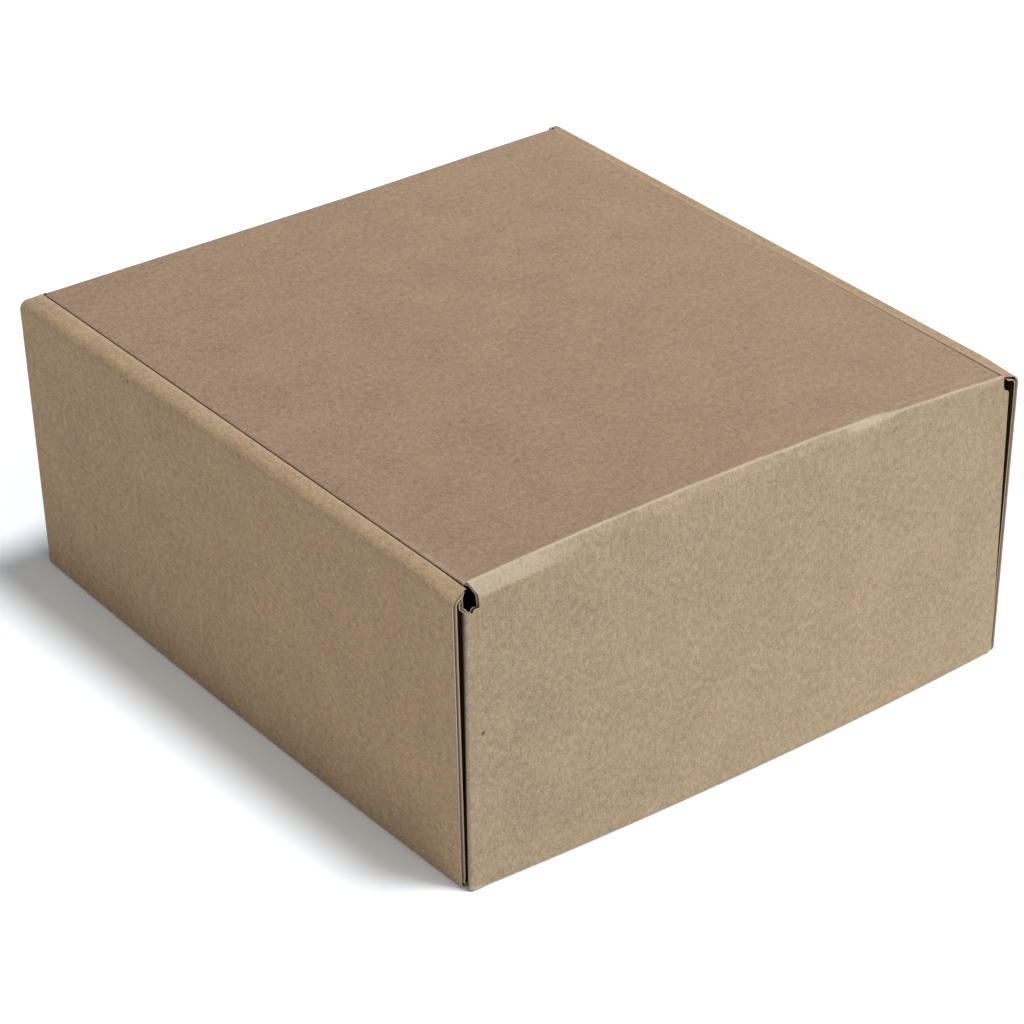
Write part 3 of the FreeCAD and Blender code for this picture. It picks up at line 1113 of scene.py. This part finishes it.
class Wiring:
    """Adds nodes to one tree and links them."""

    def __init__(self, tree: bpy.types.NodeTree) -> None:
        """Starts on this tree."""
        self.tree = tree

    def add(
        self,
        kind: str,
        inputs: dict[str | int, object] | None = None,
        **settings: object,
    ) -> bpy.types.Node:
        """Adds a node.

        Args:
            kind: The node's type.
            inputs: A socket to link or a value to set, for each named or numbered input.
            settings: The node's own settings.

        Returns:
            The new node.
        """
        node = self.tree.nodes.new(kind)
        for name, value in settings.items():
            setattr(node, name, value)
        for name, value in (inputs or {}).items():
            self.feed(node.inputs[name], value)
        return node

    def feed(self, socket: Socket, value: object) -> None:
        """Links a socket to an input, or sets the input's value."""
        if isinstance(value, Socket):
            self.tree.links.new(value, socket)
        else:
            socket.default_value = value

    def maths(self, operation: str, one: object, other: object = 0.0, clamp: bool = False) -> Socket:
        """Result of one operation on two values."""
        node = self.add("ShaderNodeMath", {0: one, 1: other}, operation=operation, use_clamp=clamp)
        return node.outputs[0]

    def vector(self, operation: str, one: object, other: object) -> bpy.types.Node:
        """Node for one operation on two vectors."""
        return self.add("ShaderNodeVectorMath", {0: one, 1: other}, operation=operation)

    def step(self, value: Socket, start: object, end: object) -> Socket:
        """Smooth step from 0 to 1 as the value goes from start to end."""
        ends = {"Value": value, "From Min": start, "From Max": end}
        return self.add("ShaderNodeMapRange", ends, interpolation_type="SMOOTHSTEP").outputs["Result"]

    def blend(self, share: object, one: object, other: object) -> Socket:
        """Colour that passes from one to the other."""
        return self.add("ShaderNodeMix", {0: share, 6: one, 7: other}, data_type="RGBA").outputs[2]

    def cloud(self, vector: Socket, scale: float, detail: float = 2.0, roughness: float = 0.5) -> Socket:
        """Soft noise about 0, between about -0.5 and 0.5."""
        form = {"Vector": vector, "Scale": scale, "Detail": detail, "Roughness": roughness}
        return self.maths("SUBTRACT", self.add("ShaderNodeTexNoise", form).outputs["Fac"], 0.5)

    def summed(self, terms: Sequence[tuple[Socket, float]]) -> Socket:
        """Sum of the sockets, each times its weight."""
        total: Socket | float = 0.0
        for socket, weight in terms:
            total = self.maths("ADD", total, self.maths("MULTIPLY", socket, weight))
        return total


def pattern_group(
    name: str,
    inputs: dict[str, str],
    outputs: dict[str, str],
) -> tuple[Wiring, dict[str, Socket]]:
    """Starts a shader node group.

    Args:
        name: The group's name.
        inputs: Kind of socket for each input: Vector, Float or Color.
        outputs: Kind of socket for each output.

    Returns:
        The group's wiring, and its inner sockets by name.
    """
    tree = bpy.data.node_groups.new(name, "ShaderNodeTree")
    for direction, sockets in (("INPUT", inputs), ("OUTPUT", outputs)):
        for label, kind in sockets.items():
            tree.interface.new_socket(name=label, in_out=direction, socket_type="NodeSocket" + kind)
    wiring = Wiring(tree)
    entry, leave = wiring.add("NodeGroupInput"), wiring.add("NodeGroupOutput")
    return wiring, {
        **{label: entry.outputs[label] for label in inputs},
        **{label: leave.inputs[label] for label in outputs},
    }


def grain_group() -> bpy.types.NodeTree:
    """Fibre grain of the paper: streaks, mottles, clouds and a slow drift across the sheet, which is painted
    light falloff.
    """
    wiring, at = pattern_group(
        "paper_grain",
        {"Sheet": "Vector", "Contrast": "Float", "Drift": "Vector"},
        {"Shade": "Float", "Streaks": "Float", "Height": "Float"},
    )
    sheet = at["Sheet"]
    fine = wiring.cloud(wiring.vector("MULTIPLY", sheet, (1.0, 0.6, 1.0)).outputs[0], 2.6, 2.0, 0.6)
    streaks = wiring.cloud(wiring.vector("MULTIPLY", sheet, (1.0, 0.4, 1.0)).outputs[0], 1.15)
    mottles = wiring.cloud(sheet, 0.42)
    clouds = wiring.cloud(sheet, 0.055)
    total = wiring.summed([(fine, 0.68), (streaks, 0.36), (mottles, 0.26), (clouds, 0.16)])
    # Painted light falloff along the Drift direction, held within a tenth either way.
    slope = wiring.vector("DOT_PRODUCT", sheet, at["Drift"]).outputs["Value"]
    drift = wiring.maths("MAXIMUM", wiring.maths("MINIMUM", slope, 0.1), -0.1)
    shade = wiring.maths("ADD", 1.0, wiring.maths("MULTIPLY", total, at["Contrast"]))
    wiring.feed(at["Shade"], wiring.maths("ADD", shade, drift))
    wiring.feed(at["Streaks"], wiring.maths("ADD", fine, streaks))
    wiring.feed(at["Height"], wiring.summed([(fine, 0.6), (streaks, 0.5), (mottles, 0.3)]))
    return wiring.tree


def fleck_group() -> bpy.types.NodeTree:
    """Round flecks scattered over the sheet."""
    wiring, at = pattern_group(
        "paper_flecks",
        {"Sheet": "Vector", "Scale": "Float", "Radius": "Float", "Share": "Float"},
        {"Mask": "Float"},
    )
    cells = wiring.add("ShaderNodeTexVoronoi", {"Vector": at["Sheet"], "Scale": at["Scale"]})
    pick = wiring.add("ShaderNodeSeparateColor", {0: cells.outputs["Color"]})
    size = wiring.maths("MULTIPLY", at["Radius"], wiring.maths("ADD", pick.outputs[1], 0.4))
    core = wiring.step(cells.outputs["Distance"], size, wiring.maths("MULTIPLY", size, 0.4))
    kept = wiring.maths("LESS_THAN", pick.outputs[0], at["Share"])
    wiring.feed(at["Mask"], wiring.maths("MULTIPLY", core, kept))
    return wiring.tree


def tint_group() -> bpy.types.NodeTree:
    """Slow drift of the paper's hue between reddish and greenish."""
    wiring, at = pattern_group(
        "paper_tint",
        {"Sheet": "Vector", "Paper": "Color", "Amount": "Float"},
        {"Colour": "Color"},
    )
    small = wiring.cloud(at["Sheet"], 0.9, 1.0)
    large = wiring.cloud(at["Sheet"], 0.12, 1.0)
    drift = wiring.maths("MULTIPLY", wiring.summed([(small, 1.3), (large, 0.7)]), at["Amount"])
    parts = wiring.add("ShaderNodeSeparateColor", {0: at["Paper"]})
    joined = wiring.add("ShaderNodeCombineColor")
    for channel, lean in enumerate((0.18, -0.2, 0.08)):
        factor = wiring.maths("ADD", 1.0, wiring.maths("MULTIPLY", drift, lean))
        wiring.feed(joined.inputs[channel], wiring.maths("MULTIPLY", parts.outputs[channel], factor))
    wiring.feed(at["Colour"], joined.outputs[0])
    return wiring.tree


@dataclass(frozen=True)
class KraftFinish:
    """Brown kraft board: its colours and the strength of its patterns.

    Args:
        name: The material's name.
        lid_tone: Paper's colour where the mark for the hinge wall's painted light is 0.
        lit_wall_tone: Lighter, yellower copy of the paper's colour where that mark is 1, which is painted
            light: the hinge wall is the same board, lit more strongly.
        drift: Slow change of shade over the sheet, as a share for each millimetre along (u, v), which is
            painted light falloff: brighter where the box is lit more strongly.
        pale: Colour of whitened folds.
        flute_and_shade: Colour of the flutes in a cut edge, made far deeper than the paper's brown as painted
            shade in the hollows; it also paints the shade on faces deep in gaps.
        liner_edge: Colour of the liners' cut edges.
        fleck: Colour of the darker flecks.
        contrast: Strength of the grain.
        tint: Strength of the drift in hue.
        relief: Height of the fibres' relief in metres.
        roughness: How matt the paper is.
        specular: Strength of its faint sheen.
    """

    name: str
    lid_tone: Colour
    lit_wall_tone: Colour
    # By default the board gets brighter towards -X, where the light comes from: painted light falloff.
    drift: tuple[float, float, float] = (-0.0008, 0.0, 0.0)
    pale: Colour = (0.57, 0.47, 0.35)
    # Painted shade: this deep brown, far below the paper's colour, stands for the shade in hollows and gaps.
    flute_and_shade: Colour = (0.035, 0.02, 0.011)
    liner_edge: Colour = (0.50, 0.385, 0.28)
    fleck: Colour = (0.13, 0.075, 0.04)
    contrast: float = 1.75
    tint: float = 0.55
    relief: float = 0.00008
    roughness: float = 0.82
    specular: float = 0.25

    def material(self, groups: dict[str, bpy.types.NodeTree]) -> bpy.types.Material:
        """Builds the material.

        Args:
            groups: The shared pattern groups by name.

        Returns:
            The material.
        """
        material = bpy.data.materials.new(self.name)
        material.use_nodes = True
        wiring = Wiring(material.node_tree)
        shader = material.node_tree.nodes["Principled BSDF"]
        shader.inputs["Roughness"].default_value = self.roughness
        shader.inputs["Specular IOR Level"].default_value = self.specular
        sheet = wiring.add("ShaderNodeAttribute", attribute_name="sheet").outputs["Vector"]
        cut, worn, tone = (
            wiring.add("ShaderNodeAttribute", attribute_name=name).outputs["Fac"]
            for name in ("cut", "worn", "tone")
        )

        def pattern(name: str, **inputs: object) -> bpy.types.Node:
            values = {label.capitalize(): value for label, value in inputs.items()}
            return wiring.add("ShaderNodeGroup", {"Sheet": sheet, **values}, node_tree=groups[name])

        grain = pattern("grain", contrast=self.contrast, drift=self.drift)
        # Painted light: marked faces take the hinge wall's lighter copy of the paper's colour.
        paper = wiring.blend(tone, (*self.lid_tone, 1), (*self.lit_wall_tone, 1))
        tint = pattern("tint", paper=paper, amount=self.tint)
        shaded = wiring.add("ShaderNodeVectorMath", {0: tint.outputs[0]}, operation="SCALE")
        wiring.feed(shaded.inputs["Scale"], grain.outputs["Shade"])
        colour = shaded.outputs[0]
        for scale, radius, share, strength, shade in (
            (0.045, 0.03, 0.8, 0.9, self.fleck),
            (0.13, 0.045, 0.6, 0.7, self.fleck),
            (0.42, 0.12, 0.5, 0.28, self.fleck),
            (0.11, 0.04, 0.4, 0.5, self.pale),
        ):
            flecks = pattern("flecks", scale=scale, radius=radius, share=share)
            mask = wiring.maths("MULTIPLY", flecks.outputs[0], strength)
            colour = wiring.blend(mask, colour, (*shade, 1))
        rough_wear = wiring.maths("ADD", 1.0, wiring.maths("MULTIPLY", grain.outputs["Streaks"], 1.1))
        wear = wiring.maths("MULTIPLY", worn, rough_wear, clamp=True)
        colour = wiring.blend(wear, colour, (*self.pale, 1))
        # Cut edges take the liner colour or the deep brown flute colour; where the cut mark lies away from an
        # edge, that flute colour is painted shade deep in a gap.
        edge = wiring.blend(worn, (*self.flute_and_shade, 1), (*self.liner_edge, 1))
        wiring.feed(shader.inputs["Base Color"], wiring.blend(cut, colour, edge))
        relief = {"Strength": 1.0, "Distance": self.relief, "Height": grain.outputs["Height"]}
        wiring.feed(shader.inputs["Normal"], wiring.add("ShaderNodeBump", relief).outputs["Normal"])
        return material


# The hinge wall's lighter colour is painted light: it is the same board as the lid.
KRAFT = KraftFinish("kraft_board", lid_tone=(0.365, 0.252, 0.168), lit_wall_tone=(0.399, 0.308, 0.205))
# Side walls: the same board painted lighter to make up for the weaker light on them, and brighter towards the
# hinge end as painted light falloff.
SIDE_KRAFT_PAINTED_LIGHT = KraftFinish(
    "kraft_board_side_painted_light",
    lid_tone=(0.449, 0.317, 0.195),
    lit_wall_tone=(0.449, 0.317, 0.195),
    drift=(0.0, 0.00035, 0.0),
)


@dataclass(frozen=True)
class Viewpoint:
    """The photograph's camera, solved from the box's edges.

    Args:
        azimuth: Degrees that the view is turned about the upright axis.
        elevation: Degrees that it looks down.
        roll: Degrees that the camera is tilted.
        distance: Metres from the box's middle.
        height: Height of that middle in metres.
        focal: Focal length as a share of the picture's width.
        shift: Share of the width by which the frame is shifted, (right, up).
    """

    azimuth: float = 142.58
    elevation: float = 29.64
    roll: float = 0.144
    distance: float = 1.1994
    height: float = 0.048
    focal: float = 3.8314
    shift: Pair = (-0.00366, -0.03871)

    def camera(self) -> None:
        """Makes the camera and sets it as the scene's."""
        azimuth, elevation, roll = (math.radians(a) for a in (self.azimuth, self.elevation, self.roll))
        back = Vector((
            math.sin(azimuth) * math.cos(elevation),
            -math.cos(azimuth) * math.cos(elevation),
            math.sin(elevation),
        ))
        right = Vector((0, 0, 1)).cross(back).normalized()
        up = back.cross(right)
        turned_right = right * math.cos(roll) + up * math.sin(roll)
        turned_up = up * math.cos(roll) - right * math.sin(roll)
        data = bpy.data.cameras.new("camera")
        data.sensor_width = 36.0
        data.lens = self.focal * data.sensor_width
        data.shift_x, data.shift_y = self.shift
        item = bpy.data.objects.new("camera", data)
        bpy.context.scene.collection.objects.link(item)
        axes = Matrix((turned_right, turned_up, back)).transposed().to_4x4()
        item.matrix_world = Matrix.Translation(Vector((0, 0, self.height)) + back * self.distance) @ axes
        bpy.context.scene.camera = item


@dataclass(frozen=True)
class Studio:
    """Pale floor and plain soft light.

    Args:
        floor_size: Width of the floor in metres.
        floor_drop: How far the floor lies under the box, so that their faces don't coincide.
        floor_grey: Floor's colour as the light sees it.
        floor_white: Floor's colour as the camera sees it, which brings the lit floor up to white
            and evens out the warm light that the board throws into the shadow.
        sky: Strength of the world's even light.
        glow: How much stronger the world is towards the hinge wall's side.
        glow_way: Direction of that side.
        key: Direction towards the key lamp, as long as its share of the light on a square face.
        key_angle: Degrees that the key lamp spans, which softens its shadow.
    """

    floor_size: float = 12.0
    floor_drop: float = 0.0001
    floor_grey: float = 0.9
    floor_white: Colour = (1.18, 1.24, 1.30)
    sky: float = 0.12
    glow: float = 1.15
    glow_way: tuple[float, float, float] = (-0.1, 0.995, 0.0)
    key: tuple[float, float, float] = (-0.123, 0.1, 0.60)
    key_angle: float = 13.0

    def floor(self) -> None:
        """Lays the floor, which looks white and still keeps the box's shadow."""
        half = self.floor_size / 2
        mesh = bpy.data.meshes.new("floor")
        corners = [(-half, -half), (half, -half), (half, half), (-half, half)]
        mesh.from_pydata([(*corner, -self.floor_drop) for corner in corners], [], [(0, 1, 2, 3)])
        floor = bpy.data.objects.new("floor", mesh)
        bpy.context.scene.collection.objects.link(floor)
        material = bpy.data.materials.new("floor")
        material.use_nodes = True
        nodes = material.node_tree.nodes
        nodes.remove(nodes["Principled BSDF"])
        wiring = Wiring(material.node_tree)
        lit = wiring.add("ShaderNodeBsdfDiffuse", {"Color": (*[self.floor_grey] * 3, 1)})
        seen = wiring.add("ShaderNodeBsdfDiffuse", {"Color": (*self.floor_white, 1)})
        ways = {0: plain_view(wiring), 1: lit.outputs[0], 2: seen.outputs[0]}
        mix = wiring.add("ShaderNodeMixShader", ways)
        wiring.feed(nodes["Material Output"].inputs["Surface"], mix.outputs[0])
        mesh.materials.append(material)

    def world(self) -> None:
        """Lights the scene softly, most from the hinge wall's side, and shows white behind it."""
        world = bpy.data.worlds.new("world")
        bpy.context.scene.world = world
        world.use_nodes = True
        wiring = Wiring(world.node_tree)
        background = world.node_tree.nodes["Background"]
        background.inputs["Color"].default_value = (1, 1, 1, 1)
        way = wiring.add("ShaderNodeTexCoord").outputs["Generated"]
        facing = wiring.vector("DOT_PRODUCT", way, self.glow_way).outputs["Value"]
        glow = wiring.maths("MULTIPLY", wiring.maths("MAXIMUM", facing, 0.0), self.glow)
        light = wiring.maths("ADD", glow, self.sky)
        lift = wiring.maths("MULTIPLY", plain_view(wiring), wiring.maths("SUBTRACT", 1.0, light))
        wiring.feed(background.inputs["Strength"], wiring.maths("ADD", light, lift))

    def lamp(self) -> None:
        """Hangs the key lamp over the box, a little towards the hinge wall and the -X side."""
        way = Vector(self.key)
        data = bpy.data.lights.new("key", "SUN")
        data.energy = way.length * math.pi
        data.angle = math.radians(self.key_angle)
        lamp = bpy.data.objects.new("key", data)
        lamp.rotation_euler = way.to_track_quat("Z", "Y").to_euler()
        bpy.context.scene.collection.objects.link(lamp)


def plain_view(wiring: Wiring) -> Socket:
    """Mask of the rays that show the background: the camera's, mirrored and clear ones."""
    path = wiring.add("ShaderNodeLightPath").outputs
    either = wiring.maths("MAXIMUM", path["Is Camera Ray"], path["Is Glossy Ray"])
    return wiring.maths("MAXIMUM", either, path["Is Transmission Ray"])


def main() -> None:
    """Builds and dresses the box piece by piece."""
    logging.basicConfig(level=logging.INFO)
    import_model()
    groups = {"grain": grain_group(), "flecks": fleck_group(), "tint": tint_group()}
    kraft, side_kraft_painted_light = KRAFT.material(groups), SIDE_KRAFT_PAINTED_LIGHT.material(groups)
    strip = HingeWallAndBase().build()
    walls = [SideWall(index).build() for index in (0, 1)]
    flaps = [DustFlap(index, hinge).build() for index in (0, 1) for hinge in (True, False)]
    tabs = [LockingTab(index, row).build() for index in (0, 1) for row in (0, 1)]
    lid_pieces = [LidPanel().build(), TuckFlap().build()]
    crease = LidCrease().build()
    body_pieces = [strip, *walls, *flaps, *tabs]
    for piece in [*body_pieces, *lid_pieces, crease]:
        # The side walls take the lighter copy of the board, which is painted light.
        piece.data.materials.append(side_kraft_painted_light if piece in walls else kraft)
        LOG.info("%s: %d faces", piece.name, len(piece.data.polygons))
    for piece in body_pieces:
        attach(piece, "body")
    for piece in lid_pieces:
        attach(piece, "lid")
    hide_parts("box_body")
    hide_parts("lid")
    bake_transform(crease)
    studio = Studio()
    studio.floor()
    studio.world()
    studio.lamp()
    Viewpoint().camera()
    bpy.context.scene.view_settings.view_transform = "Standard"


if __name__ == "__main__":
    main()
